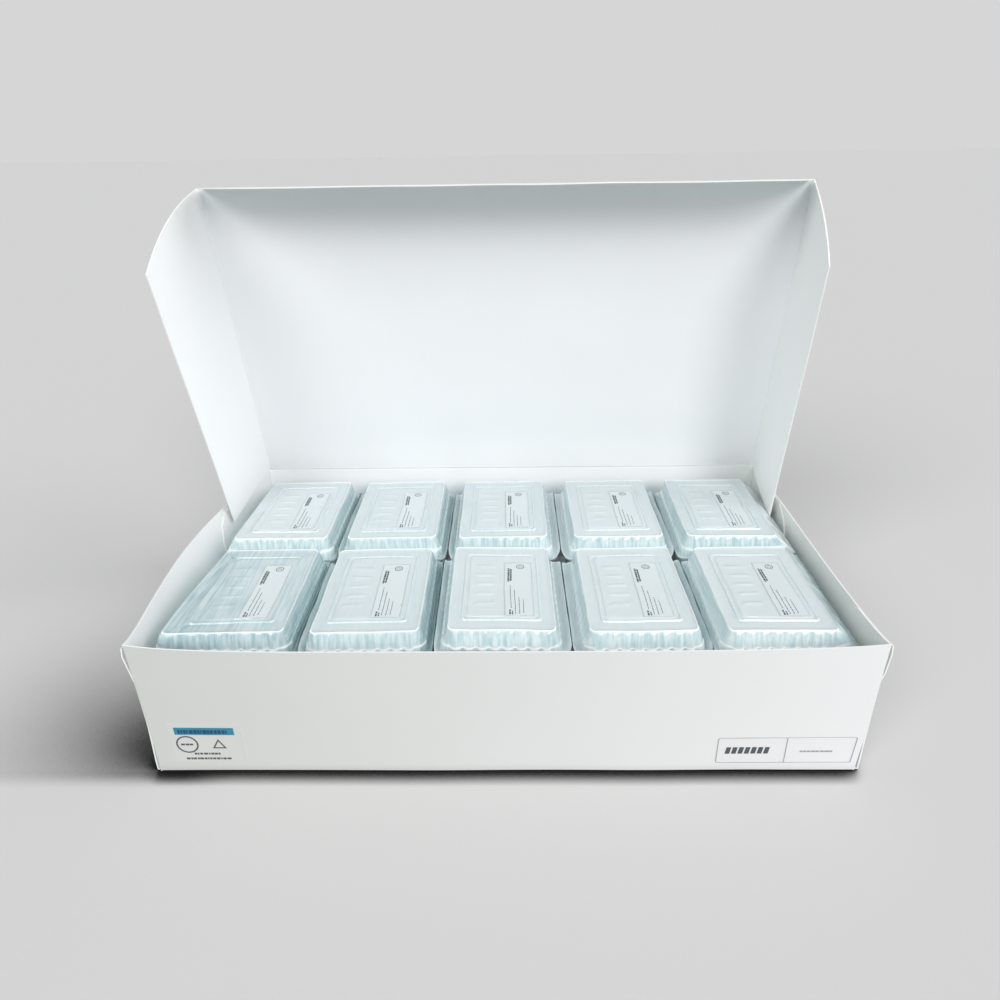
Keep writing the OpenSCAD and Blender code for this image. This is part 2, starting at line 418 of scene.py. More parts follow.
# The tuck flap's inner face: a darker, greener copy of the board's inside, painted shade for a face that
# looks down.
TUCK_INSIDE_SHADED = board("tuck_inside_painted_shade", (0.70, 0.755, 0.755), (0.67, 0.73, 0.73))
BOARD_CORE = shaded("board_cut_edge", (0.87, 0.87, 0.85), (0.78, 0.78, 0.75), 0.8, 300.0, 2500.0, 0.4)
PAPER = shaded("label_paper", (0.594, 0.609, 0.586), (0.57, 0.585, 0.564), 0.6, 40.0, 900.0, 0.1)
FILM = film_material("clear_film", (0.705, 0.765, 0.78), (0.84, 0.905, 0.91), (0.60, 0.75, 0.78), 0.16, 0.22)
BASE_FILM = film_material("clear_base_film", (0.72, 0.82, 0.85), (0.90, 0.96, 0.97), (0.68, 0.86, 0.89),
                          0.2, 0.3)
LABEL_FILM = shaded("label_film", (0.74, 0.81, 0.83), (0.72, 0.79, 0.81), 0.3, 60.0, 900.0, 0.05,
                    Transmission_Weight=0.15)
RACK = shaded("rack_plastic", (0.66, 0.78, 0.82), (0.60, 0.73, 0.78), 0.45, 30.0, 500.0, 0.1)
TIP = shaded("tip_plastic", (0.84, 0.89, 0.90), (0.80, 0.86, 0.88), 0.35, 60.0, 600.0, 0.05,
             Transmission_Weight=0.25)
INK = ink("grey_ink", (0.09, 0.11, 0.12), (0.05, 0.065, 0.075))
PALE_INK = ink("pale_ink", (0.33, 0.37, 0.39), (0.27, 0.31, 0.33))
BLUE_INK = ink("blue_ink", (0.03, 0.25, 0.36), (0.015, 0.17, 0.28), 0.55, 120.0)
DEEP_BLUE_INK = ink("deep_blue_ink", (0.008, 0.07, 0.16), (0.005, 0.045, 0.12), 0.55, 120.0)


# ---- carton tray
WALL_STEPS, SIDE_STEPS, TAB_STEPS = 36, 56, 16
UNEVEN = 0.5
# How far out and up each front corner is pulled at its top, and over what distances that fades
FLARES = {-1: (2.6, 4.0), 1: (2.8, 2.2)}
FLARE_FADE_X, FLARE_FADE_Y = 24, 26
# At some heights: how far the side wall's free front edge stands out, and the front wall's corner draws in
WAVE_HEIGHTS = (0, 8, 42, 79, 85, 101, 107)
WAVES = {-1: (2.1, 2.1, 0.4, 0.1, 1.0, 2.9, 1.8), 1: (0.3, 0.3, 0.2, 0.1, 1.8, 2.6, 1.8)}
DRAWN_IN = {-1: (0,) * 7, 1: (2.7, 2.4, 0, 0, 0, 0, 0)}
WAVE_FADE, DRAWN_FADE = 16, 9
# The side wall follows the pulled corner only this far
SIDE_FOLLOWS = 0.05


def bulge(side, y, z):
    """How far the left wall stands out towards its middle."""
    along = min(max(y / (2 * HALF_D) + 0.5, 0.0), 1.0)
    return LEFT_BULGE * math.sin(math.pi * along) * z / RIM if side < 0 else 0.0


def front_face(x, z):
    """How far forward the front wall's bowed and uneven face stands."""
    along = 1 - (1 - math.sin(math.pi * (x / (2 * HALF_W) + 0.5))) ** 2
    return HALF_D + FRONT_BULGE * along * z / RIM + wobble((x, -HALF_D, z), 90, UNEVEN)


def rear_face(x, z):
    """The rear wall's uneven face, straight at the crease that carries the lid."""
    return HALF_D + wobble((x, HALF_D, z), 90, UNEVEN * ease((RIM - z) / 30))


def wall_rows(top, steps=18):
    """Heights up a wall with how far each lies inside its face: the foot turns in to meet the floor."""
    foot = [(FOLD, 0.0), (FOLD * 0.3, FOLD * 0.3), (0.0, FOLD)]
    return foot + [(0.0, FOLD + (top - FOLD) * k / steps) for k in range(1, steps + 1)]


def flared(point, raised=1.0):
    """The two front corners are pulled outwards and up at their tops."""
    x, y, z = point
    side = -1 if x < 0 else 1
    out, up = FLARES[side]
    near = math.exp(-max(HALF_W - abs(x), 0) / FLARE_FADE_X)
    share = math.exp(-(y + HALF_D) / FLARE_FADE_Y) * near * (z / RIM) ** 2
    drawn = raised * math.exp(-(y + HALF_D) / DRAWN_FADE) * near * np.interp(z, WAVE_HEIGHTS, DRAWN_IN[side])
    return (x + side * (out * share - drawn), y, z + up * raised * share)


def tab_top(back, tab):
    """How high a corner tab stands at a distance back from its corner: its free corner is rounded."""
    length, round_y, round_z = tab
    turned = max(0.0, (back + FOLD - (length - round_y)) / round_y)
    return RIM - round_z * (1 - math.sqrt(max(0.0, 1 - min(turned, 1.0) ** 2)))


def strip_point(front, kind, side, value, inset, z):
    """A point of the folded strip: on its wall, in a corner's fold or on a corner tab."""
    end = -1 if front else 1
    if kind == "wall":
        face = front_face if front else rear_face
        return (value, end * (face(value, z) - inset), z)
    if kind == "corner":
        return (side * (HALF_W - FOLD * 0.3), end * (HALF_D - FOLD * 0.3), z)
    y = end * (HALF_D - value - FOLD)
    return (side * (HALF_W - BOARD - inset + bulge(side, y, z)), y, z)


def end_strip(front, tab):
    """The front or rear wall with its two corner tabs, as one folded strip seen from outside."""
    length = tab[0] - FOLD
    left = [("tab", -1, (1 - k / TAB_STEPS) * length) for k in range(TAB_STEPS)] + [("corner", -1, 0.0)]
    right = [(kind, 1, value) for kind, _, value in reversed(left)]
    # Stations crowd towards the corners, where the wall bends most
    across = [("wall", 0, (HALF_W - FOLD) * math.sin(math.pi / 2 * (k / WALL_STEPS - 1)))
              for k in range(2 * WALL_STEPS + 1)]
    grid = []
    for kind, side, value in left + across + right:
        top = tab_top(value, tab) if kind == "tab" else RIM
        column = [strip_point(front, kind, side, value, inset, z) for inset, z in wall_rows(top)]
        grid.append([flared(point) for point in column] if front else column)
    grid = np.array(grid)
    return grid if front else grid[::-1]


def side_wall(side):
    """A side wall: it stands free of the corner tab at its front edge, where it waves a little."""
    start = -HALF_D + BOARD + CREASE_GAP
    grid = []
    for k in range(SIDE_STEPS + 1):
        y = start + (HALF_D - start) * k / SIDE_STEPS
        free = math.exp(-(y - start) / WAVE_FADE)
        column = []
        for inset, z in wall_rows(RIM, 30):
            out = HALF_W - inset + bulge(side, y, z) + free * np.interp(z, WAVE_HEIGHTS, WAVES[side])
            out += wobble((side * HALF_W, y, z), 80, UNEVEN * ease((y - start) / 20), 3.0)
            column.append(flared((side * out, y, z), SIDE_FOLLOWS))
        grid.append(column)
    grid = np.array(grid)
    return grid if side > 0 else grid[::-1]


def board_piece(name, grids, face, back, body):
    """A board sheet with one material on its grids, one on their far side and one on the cut edges."""
    verts, faces, kinds = thick_sheets(grids)
    return new_piece(name, verts, faces, [face, back, BOARD_CORE], body, kinds=kinds)


def make_tray():
    floor = np.array([[(x, y, 0.0) for y in np.linspace(HALF_D - FOLD, -HALF_D + FOLD, 9)]
                      for x in np.linspace(-HALF_W + FOLD, HALF_W - FOLD, 15)])
    grids = [floor, end_strip(True, FRONT_TAB), end_strip(False, REAR_TAB), side_wall(-1), side_wall(1)]
    piece = board_piece("tray_board", grids, BOARD_OUTSIDE_SHADED, TRAY_INSIDE_SHADED, "tray")
    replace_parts(piece, "carton_tray")


# ---- lid
PANEL_BOW = -4.5
PANEL_UNEVEN = 0.6


def on_lid(x, s, n):
    """A point in the lid's own plane: across, from the hinge to the front, and inwards."""
    return hinge + x * np.array((1.0, 0.0, 0.0)) + s * LID_UP + n * LID_IN


def panel_point(x, s):
    """The panel springs back between its creases, least near the flaps and the tuck flap."""
    right, left = (LID_HALF - x) / 75, (LID_HALF + x) / 60
    front, back = (LID_L - s) / 42, s / 40
    bow = PANEL_BOW * ease(right) * ease(left) * ease(front) * ease(back)
    uneven = wobble((x, s, 0), 110, PANEL_UNEVEN)
    uneven *= ease(s / 20) * ease((LID_L - s) / 20) * ease((LID_HALF - abs(x)) / 20)
    return on_lid(x, s, bow + uneven)


def make_lid():
    start = 4 * CREASE_GAP
    # Stations crowd towards the edges, where the panel curls
    xs = LID_HALF * np.sin(np.linspace(-1, 1, 61) * math.pi / 2)
    ss = start + (LID_L - 2 * start) * (1 - np.cos(np.linspace(0, 1, 41) * math.pi)) / 2
    grid = np.array([[panel_point(x, s) for s in ss] for x in xs])
    panel = board_piece("lid_panel", [grid], LID_INSIDE_SHADED, BOARD_OUTSIDE_SHADED, "lid")
    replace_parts(panel, "carton_lid")


def tuck_point(t, w):
    """A point of the tuck flap: t across from -1 to 1, w from its crease; its free corners are round."""
    out = np.array((0.0, math.sin(TUCK_LEAN), math.cos(TUCK_LEAN)))
    edge = TUCK_EDGE + (TUCK_HALF - TUCK_EDGE) * math.cos(math.asin(min(w / TUCK_W, 1.0)))
    sag = wobble((t * edge, w, 5), 60, UNEVEN) * ease(w / 15)
    down = w + TUCK_GAP
    return on_lid(t * edge, LID_L + out[1] * down - sag * out[2], out[2] * down + sag * out[1])


def make_tuck():
    depths = [TUCK_W * math.sin(k / 10 * math.pi / 2) for k in range(11)]
    # The inner face looks back towards the hinge
    grid = np.array([[tuck_point(t, w) for w in depths] for t in np.linspace(-1, 1, 49)])[::-1]
    piece = board_piece("tuck_board", [grid], TUCK_INSIDE_SHADED, BOARD_OUTSIDE_SHADED, "tuck")
    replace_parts(piece, "tuck_flap")


NOSE_R = 161.6
NOSE_FROM, NOSE_TO = math.radians(81.5), math.radians(47.7)
FLAP_BACK = 2.0
FLAP_CURL = {-1: 1.2, 1: -0.48}


def nose(a):
    """The curved front edge: how far it has come back from the crease's end, and how deep it is."""
    return NOSE_R * (math.sin(NOSE_FROM) - math.sin(a)), NOSE_R * (math.cos(a) - math.cos(NOSE_FROM))


def flap_point(side, lean, s, n):
    """A point of a side flap: s from the hinge to the front, and n inwards from the crease."""
    slope = math.tan(math.radians(lean[0] + (lean[1] - lean[0]) * s / LID_L))
    curl = 4 * FLAP_CURL[side] * ease(n / FLAP_W) * (1 - ease(n / FLAP_W))
    out = n * slope + curl + wobble((side * 9, s, n), 70, PANEL_UNEVEN) * ease(n / 20)
    return on_lid(side * (LID_HALF + max(out, -FLAP_W)), s, n)


def make_side_flap(name, side, lean, body, node):
    reach, depth = nose(NOSE_TO)
    stations = [(FLAP_BACK + (LID_L - reach - FLAP_BACK) * k / 26, FLAP_W) for k in range(27)]
    for k in range(1, 17):
        r, d = nose(NOSE_TO + (NOSE_FROM - NOSE_TO) * k / 16)
        stations.append((LID_L - CREASE_GAP - r, max(d * FLAP_W / depth, 1.0)))
    grid = np.array([[flap_point(side, lean, s, CREASE_GAP + (d - CREASE_GAP) * k / 12) for k in range(13)]
                     for s, d in stations])
    if side > 0:
        grid = grid[::-1]
    piece = board_piece(name, [grid], FLAP_INSIDE_LIT_AND_SHADED, BOARD_OUTSIDE_SHADED, body)
    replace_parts(piece, node)


# ---- packs
BASE_BOXES = {i: [np.array(c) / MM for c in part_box(f"pack_base_{i}")] for i in PACKS}
CENTRES = {i: (low + high) / 2 for i, (low, high) in BASE_BOXES.items()}


def pack_matrix(i):
    """Where pack i stands, from its base's box, with its own turn and tilt."""
    turn, tilt = math.radians(TURNS[i - 1]), math.radians(TILTS[i - 1])
    rotation = Euler((0, tilt, turn), "XYZ").to_matrix().to_4x4()
    lean = SEAM_H * math.sin(tilt)
    centre = CENTRES[i]
    place = Vector((centre[0] - lean * math.cos(turn), centre[1] - lean * math.sin(turn),
                    BASE_BOXES[i][0][2] + BASE_HALF * math.sin(tilt)))
    return Matrix.Translation(place) @ rotation


FLUTE_R = 3.5


def fluted(along, number, depth):
    """How far a row of half-round flutes stands out; those down the long sides are shallow."""
    if abs(along) >= PITCH * number / 2:
        return 0.0
    phase = (along / PITCH + (number - 1) / 2) % 1.0
    off = min(phase, 1 - phase) * PITCH
    share = 0.2 if number == ROWS else 1.0
    return share * depth * math.sqrt(max(0.0, 1 - (off / FLUTE_R) ** 2))


def arc(cx, cy, radius, start, steps, last=0):
    """A quarter circle from start degrees on, with its last point if that is 1."""
    angles = [math.radians(start + 90 * k / steps) for k in range(steps + last)]
    return [(cx + radius * math.cos(a), cy + radius * math.sin(a)) for a in angles]


def ring(half_w, half_l, radius, z, flute=0.0, counts=(48, 72, 7)):
    """A rounded rectangle with fluted sides: its back and left, then the same turned half round."""
    nx, ny, nc = counts
    straight_x, straight_y = half_w - radius, half_l - radius
    xs = [straight_x - 2 * straight_x * k / nx for k in range(nx)]
    ys = [straight_y - 2 * straight_y * k / ny for k in range(ny)]
    points = [(x, half_l + fluted(x, COLUMNS, flute)) for x in xs]
    points += arc(-straight_x, straight_y, radius, 90, nc)
    points += [(-half_w - fluted(y, ROWS, flute), y) for y in ys]
    points += arc(-straight_x, -straight_y, radius, 180, nc)
    points += [(-x, -y) for x, y in points]
    return [(x, y, z) for x, y in points]


def skinned(rings):
    """A shell through the rings, closed over the last one."""
    verts = [p for r in rings for p in r]
    n = len(rings[0])
    faces = [(j * n + i, j * n + (i + 1) % n, (j + 1) * n + (i + 1) % n, (j + 1) * n + i)
             for j in range(len(rings) - 1) for i in range(n)]
    faces.append(tuple((len(rings) - 1) * n + i for i in range(n)))
    return verts, faces


# The formed lid's rings, from its flange inwards and upwards: half width, half length, corner radius, height
# above the seam (flange and fluted skirt) or above the top (plateau and panel), flute depth and painted
# light (highlight above zero, shade below)
SKIRT_RINGS = (
    (46.0, 62.0, 6.0, 0.1, 0, 0.4), (46.0, 62.0, 6.0, 0.6, 0, 0.6), (44.6, 61.0, 6.5, 0.6, 0, 0.1),
    (43.4, 60.0, 7.4, 0.65, 0, -0.1), (42.9, 59.5, 7.8, 1.0, 0.7, -0.1), (42.7, 59.3, 7.8, 2.5, 1.5, 0.0),
    (42.3, 58.9, 7.6, 4.2, 2.1, 0.1), (41.9, 58.5, 7.4, 5.6, 2.6, 0.25), (41.7, 58.3, 7.3, 6.4, 2.7, 0.7),
    (41.5, 58.1, 7.2, 6.9, 2.3, 1.0), (41.3, 57.9, 7.1, 7.1, 1.6, 0.5), (41.0, 57.6, 6.9, 7.3, 1.0, 0.0),
    (40.5, 57.2, 6.6, 9.0, 0.8, -0.1), (39.9, 56.6, 6.0, 12.0, 0.8, -0.2),
    (39.2, 55.9, 5.2, 15.0, 0.8, -0.35), (38.4, 55.2, 4.4, 17.0, 0.5, -0.45),
)
TOP_RINGS = (
    (38.0, 54.8, 4.0, -0.1, 0.1, 0.0), (37.7, 54.5, 3.7, 0.4, 0, 1.0), (37.2, 54.0, 3.4, 0.5, 0, 1.0),
    (36.7, 53.5, 3.2, 0.1, 0, 0.3), (36.2, 53.0, 3.0, -0.2, 0, 0), (33.0, 50.0, 3.0, -0.1, 0, 0),
    (28.9, 43.9, 3.4, -0.1, 0, -0.1),
)
# Three steps lead to the middle of the panel: half width and rise
PANEL_STEPS = ((28.3, 0.8), (27.1, 0.85), (26.5, 0.1), (24.9, 0.1), (24.3, 0.8), (23.6, 0.8))
PANEL_W, PANEL_RISE, PANEL_LONGER = 23.6, 0.8, 15.0
# Painted highlights down the long sides are weaker
LONG_SIDE_SHARE = 0.35


def lid_rings():
    """The rings of a pack's lid as points, and every point's painted highlight (above zero) or shade (below
    zero).
    """
    rows = [(w, l, r, SEAM_H + z, flute, highlight_shade) for w, l, r, z, flute, highlight_shade in SKIRT_RINGS]
    rows += [(w, l, r, PACK_H + z, flute, highlight_shade) for w, l, r, z, flute, highlight_shade in TOP_RINGS]
    rows += [(w, w + PANEL_LONGER, 3.0, PACK_H + rise, 0, 0) for w, rise in PANEL_STEPS]
    rows += [(PANEL_W - 1.6 * k, PANEL_W + PANEL_LONGER - 1.6 * k, max(3.0 - 0.2 * k, 0.5),
              PACK_H + PANEL_RISE, 0, 0) for k in range(1, 15)]
    rings, highlight_shades = [], []
    for *shape, highlight_shade in rows:
        points = ring(*shape)
        rings.append(points)
        side_highlight_shade = highlight_shade * LONG_SIDE_SHARE if highlight_shade > 0 else highlight_shade
        highlight_shades += [side_highlight_shade if abs(x) > 30 and abs(y) < 50 else highlight_shade for x, y, _ in points]
    return rings, highlight_shades


def weave(piece, local, i):
    """The film's own coordinates: fine across the short sides and down the long ones, slow the other way."""
    spots = []
    for x, y, z in local:
        if abs(x) > 20 and abs(x) - 16 > abs(y) - 32 and abs(y) < 54:
            spots.append((2.0 * z - 1.5 * abs(x), 0.08 * y + math.copysign(3.0, x)))
        else:
            spots.append((x, 0.08 * y + 0.12 * z))
    layer = piece.data.uv_layers.new(name="weave")
    corners = np.empty(len(piece.data.loops), dtype=np.int64)
    piece.data.loops.foreach_get("vertex_index", corners)
    layer.data.foreach_set("uv", ((np.array(spots)[corners] + 17.0 * i) * MM).ravel())


RIB_X, RIB_LONG, RIB_WIDE, RIB_STEP, RIBS = -12.5, 14.0, 3.4, 12.0, 5
RIB_RISE = 0.7


def panel_relief(x, y):
    """Five low ribs across the left half of the raised panel."""
    along = max(0.0, 1 - max(abs(x - RIB_X) - RIB_LONG / 2 + 1, 0.0) / 1.6)
    if along == 0 or abs(y) > RIB_STEP * RIBS / 2:
        return 0.0
    off = abs((y / RIB_STEP + 0.5) % 1.0 - 0.5) * RIB_STEP
    return RIB_RISE * along * (1 - ease((off - RIB_WIDE / 2 + 0.8) / 1.4))


# How far the front left corner of a pack's soft lid spreads
SPREADS = {1: 9.0, 6: 4.0}


def spread_left(i, x, y):
    return SPREADS.get(i, 0.0) * ease((-x - 22) / 16) * ease((58 - y) / 120)


def formed(i, point):
    """Where a point of pack i's lid lies once the film has drawn in unevenly."""
    x, y, z = point
    x -= spread_left(i, x, y)
    high = ease((z - SEAM_H - 2) / 15)
    lift = wobble((x, y, 0), 34, 0.5, 7.0 * i) + wobble((x, y, 3), 9, 0.15, 3.0 * i)
    return (x + wobble((x, y, z), 26, 0.5, 5.0 * i) * high, y + wobble((x, z, y), 26, 0.5, 4.0 * i) * high,
            z + lift * high)


# Half a pack's width over its free flange and over its foot, and how far out the rings draw the flange
FLANGE, FOOT, FLANGE_SPAN = 51.0, 43.0, 3.0
FLANGE_TOP = SEAM_H + 0.7
# How far the front row's flanges reach forward at their corners, and the stretch that is drawn out
FRONT_REACH, FLANGE_FROM, FLANGE_TO = 7.5, 59.6, 62.0


def flange_reach(i, side):
    """How far out a pack's flange gets before it meets its neighbour."""
    here = CENTRES[i]
    row = [c for k, c in CENTRES.items() if k != i and abs(c[1] - here[1]) < 40]
    return min([FLANGE] + [abs(c[0] - here[0]) / 2 - 0.5 for c in row if (c[0] - here[0]) * side > 0])


def squeezed(i, reaches, point):
    """The soft flange reaches out at the long sides, and bends up where a neighbour leaves no room."""
    x, y, z = point
    if abs(x) <= FOOT or z > FLANGE_TOP:
        return point
    if i in FRONT_ROW:
        y -= FRONT_REACH * max(-y - FLANGE_FROM, 0.0) / (FLANGE_TO - FLANGE_FROM)
    side = 1 if x > 0 else -1
    reach = reaches[side]
    t = (abs(x) - FOOT) / FLANGE_SPAN
    ends = ease((FLANGE_TO - abs(y)) / 12)
    lift = math.sqrt(max(0.0, (FLANGE - FOOT) ** 2 - (reach - FOOT) ** 2))
    lift *= 0.9 + wobble((9.0 * i, y, side * 50), 22, 0.35)
    out = FOOT + t * (FLANGE_SPAN + (reach - FOOT - FLANGE_SPAN) * ends)
    return (side * out, y, z + lift * t * t * ends)


# The side on which a pack stands beside the tray's wall
OUTER = {1: -1, 6: -1, 5: 1, 10: 1}
PLATEAU_EDGE = 38.2
SLOPE_DROP = 12.0
# The closed lid's side flaps come down just outside this
CLEAR_HALF_W = 243.2


def settled(i, point):
    """Beside the tray's wall the soft lid slopes out from its top to where the side flaps come down."""
    x, y, z = point
    side = OUTER.get(i, 0)
    if side * x < 30 or z > PACK_H - 0.6:
        return point
    wall = CLEAR_HALF_W - side * CENTRES[i][0] + side * y * math.sin(math.radians(TURNS[i - 1]))
    wall -= spread_left(i, -wall, y) if side < 0 else 0.0
    down = min((PACK_H - z) / (PACK_H - SEAM_H - 1), 1.0)
    wall -= 1.5 * abs(wobble((x, y, side * 9), 14, 1.0, 5.0 * i))
    slope_x = PLATEAU_EDGE + (wall - PLATEAU_EDGE) * down
    slope_z = PACK_H - SLOPE_DROP * down + wobble((x, y, z), 12, 1.6, 3.0 * i) * down * (1 - down) * 4
    share = ease((side * x - 34) / 5)
    return (side * (abs(x) + (slope_x - abs(x)) * share), y, z + (slope_z - z) * share)


# How much each pack's film is painted darker and bluer, most of all over its left part, and painted shade
# along its edges
FILM_DARKENING = {1: 0.85, 2: 0.14, 5: -0.15, 7: 0.1, 8: 0.08, 10: 0.12}
# Painted shade on the slopes beside the tray's walls (painted light where below zero), and painted shade
# down some packs' right sides
SLOPE_SHADES = {1: 0.7, 6: 0.2, 5: 0.5, 10: -0.3}
RIGHT_SIDE_SHADES = {1: 1.6, 2: 1.4, 4: 0.2, 6: 0.5, 7: 0.5}


def film_light_and_shade(i, point, highlight_shade):
    """A point's painted light: above zero the film is whitened, a painted highlight; below zero it is
    darkened, painted shade.
    """
    x, y, z = point
    if OUTER.get(i, 0) * x > 37:
        return wobble((x, y, z), 9, 0.8, 2.0 * i) - SLOPE_SHADES[i]
    # depth: how far this point's film is painted darker
    depth = FILM_DARKENING.get(i, 0.0) * (1.0 - 0.45 * ease((x + 40) / 60))
    depth += 0.10 * ease((abs(x) - 29) / 6) + 0.06 * ease((abs(y) - 45) / 6)
    depth += wobble((x, y, z), 9, 0.25 * (0.3 + depth), 11.0 * i)
    depth += RIGHT_SIDE_SHADES.get(i, 0.0) if x > 39 else 0.0
    return highlight_shade - max(depth, 0.0) * (1.0 - max(highlight_shade, 0.0))


def thicken(piece):
    solid = piece.modifiers.new("film", "SOLIDIFY")
    solid.thickness = FILM_THICK * MM
    solid.offset = -1
    solid.use_even_offset = False


def make_pack_lid(i, matrix):
    rings, highlight_shades = lid_rings()
    verts, faces = skinned(rings)
    reaches = {side: flange_reach(i, side) for side in (-1, 1)}
    moved = []
    for point in verts:
        x, y, z = settled(i, squeezed(i, reaches, point))
        z += panel_relief(x, y) if z > PACK_H + 0.5 else 0.0
        moved.append(matrix @ Vector(formed(i, (x, y, z))))
    piece = new_piece(f"formed_lid_{i}", moved, faces, [FILM], "tray", smooth=50)
    # Each point's painted highlight or shade, which the film's material reads
    highlight_shade = piece.data.attributes.new("highlight_shade", "FLOAT", "POINT")
    highlight_shade.data.foreach_set("value", [film_light_and_shade(i, *pair) for pair in zip(verts, highlight_shades)])
    weave(piece, verts, i)
    thicken(piece)
    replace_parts(piece, f"pack_lid_{i}")


# The formed base's rings, from its flange over the rack's ledge to the foot
BASE_RINGS = (
    (46.0, 62.0, 6.0, 84.95), (46.0, 62.0, 6.0, 84.5), (43.0, 59.6, 8.5, 84.4), (42.2, 58.7, 9.0, 83.8),
    (41.8, 58.3, 9.0, 76.0), (41.5, 58.0, 9.0, 68.6), (41.0, 57.6, 8.8, 68.0), (39.4, 55.8, 8.2, 67.9),
    (38.8, 55.3, 8.0, 67.0), (38.2, 54.6, 8.0, 35.0), (37.2, 53.7, 8.0, 3.0), (36.4, 52.9, 7.4, 0.9),
    (35.0, 51.5, 6.0, 0.0), (20.0, 30.0, 4.0, 0.0), (4.0, 6.0, 1.0, 0.0),
)
BASE_COUNTS = (30, 44, 6)


def make_pack_base(i, matrix):
    verts, faces = skinned([ring(*row, counts=BASE_COUNTS) for row in BASE_RINGS])
    piece = new_piece(f"formed_base_{i}", [matrix @ Vector(v) for v in verts], [f[::-1] for f in faces],
                      [BASE_FILM], "tray", smooth=50)
    weave(piece, verts, i)
    thicken(piece)
    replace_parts(piece, f"pack_base_{i}")


# ---- tips, as instances on a grid
# A turned profile: slim cone, collar, and the bore that a pipette enters
TIP_PROFILE = ((0.5, 5.0), (2.4, 49.0), (3.3, 79.0), (4.1, 79.2), (4.0, TIP_TOP), (3.4, TIP_TOP))
TIP_SIDES = 8
TURN_SEED = 11


def one_tip():
    """One tip at the origin, closed round its bore."""
    angles = [2 * math.pi * k / TIP_SIDES for k in range(TIP_SIDES)]
    verts = [(r * math.cos(a) * MM, r * math.sin(a) * MM, z * MM) for r, z in TIP_PROFILE for a in angles]
    m, n = len(TIP_PROFILE), TIP_SIDES
    faces = [(j * n + k, j * n + (k + 1) % n, (j + 1) % m * n + (k + 1) % n, (j + 1) % m * n + k)
             for j in range(m) for k in range(n)]
    mesh = bpy.data.meshes.new("one_tip")
    mesh.from_pydata(verts, [], faces)
    mesh.polygons.foreach_set("use_smooth", [True] * len(faces))
    mesh.set_sharp_from_angle(angle=math.radians(35))
    return placed("one_tip", mesh)


def tips_tree(tip):
    """Geometry nodes that stand one tip at each well of a rack."""
    tree = bpy.data.node_groups.new("tips in a rack", "GeometryNodeTree")
    tree.interface.new_socket("Geometry", in_out="OUTPUT", socket_type="NodeSocketGeometry")
    sockets = {}
    for label, value in (("Pitch", PITCH * MM), ("Columns", COLUMNS), ("Rows", ROWS), ("Turn Spread", 0.4)):
        kind = "NodeSocketInt" if isinstance(value, int) else "NodeSocketFloat"
        sockets[label] = tree.interface.new_socket(label, in_out="INPUT", socket_type=kind)
        sockets[label].default_value = value
    nodes, link = tree.nodes, tree.links.new
    ins, outs = nodes.new("NodeGroupInput"), nodes.new("NodeGroupOutput")
    grid = nodes.new("GeometryNodeMeshGrid")
    for side, label in (("X", "Columns"), ("Y", "Rows")):
        steps = calc(tree, "SUBTRACT", ins.outputs[label], 1.0)
        link(calc(tree, "MULTIPLY", steps, ins.outputs["Pitch"]), grid.inputs[f"Size {side}"])
        link(ins.outputs[label], grid.inputs[f"Vertices {side}"])
    info = nodes.new("GeometryNodeObjectInfo")
    put(info, Object=tip)
    spread = nodes.new("FunctionNodeRandomValue")
    spread.data_type = "FLOAT_VECTOR"
    put(spread, Seed=TURN_SEED, Min=(0, 0, -1), Max=(0, 0, 1))
    turn = nodes.new("ShaderNodeVectorMath")
    turn.operation = "SCALE"
    place = nodes.new("GeometryNodeInstanceOnPoints")
    real = nodes.new("GeometryNodeRealizeInstances")
    paint = nodes.new("GeometryNodeSetMaterial")
    put(paint, Material=TIP)
    link(spread.outputs["Value"], turn.inputs[0])
    link(ins.outputs["Turn Spread"], turn.inputs["Scale"])
    link(turn.outputs[0], place.inputs["Rotation"])
    link(grid.outputs["Mesh"], place.inputs["Points"])
    link(info.outputs["Geometry"], place.inputs["Instance"])
    link(place.outputs["Instances"], real.inputs["Geometry"])
    link(real.outputs["Geometry"], paint.inputs["Geometry"])
    link(paint.outputs["Geometry"], outs.inputs["Geometry"])
    return tree, sockets


def baked(name, tree, inputs):
    """The tree's result as a plain mesh."""
    carrier = placed("carrier", bpy.data.meshes.new("carrier"))
    modifier = carrier.modifiers.new("tree", "NODES")
    modifier.node_group = tree
    for identifier, value in inputs.items():
        modifier[identifier] = value
    graph = bpy.context.evaluated_depsgraph_get()
    mesh = bpy.data.meshes.new_from_object(carrier.evaluated_get(graph))
    mesh.name = name
    bpy.data.objects.remove(carrier)
    return mesh


def make_tips(tree, sockets, i, matrix):
    mesh = baked(f"tip_set_{i}", tree, {sockets["Turn Spread"].identifier: 0.3 + 0.02 * i})
    metres = Matrix.Scale(MM, 4) @ matrix @ Matrix.Scale(1 / MM, 4)
    mesh.transform(metres)
    piece = placed(f"tip_set_{i}", mesh)
    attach(piece, "tray")
    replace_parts(piece, f"tips_{i}")


# ---- flat shapes for print
def filled(points, z0, z1):
    """A flat raised shape."""
    n = len(points)
    verts = [(x, y, z0) for x, y in points] + [(x, y, z1) for x, y in points]
    sides = [(k, (k + 1) % n, n + (k + 1) % n, n + k) for k in range(n)]
    return verts, sides + [tuple(range(n))[::-1], tuple(range(n, 2 * n))]


def slab(x0, x1, y0, y1, z0, z1):
    return filled([(x0, y0), (x1, y0), (x1, y1), (x0, y1)], z0, z1)


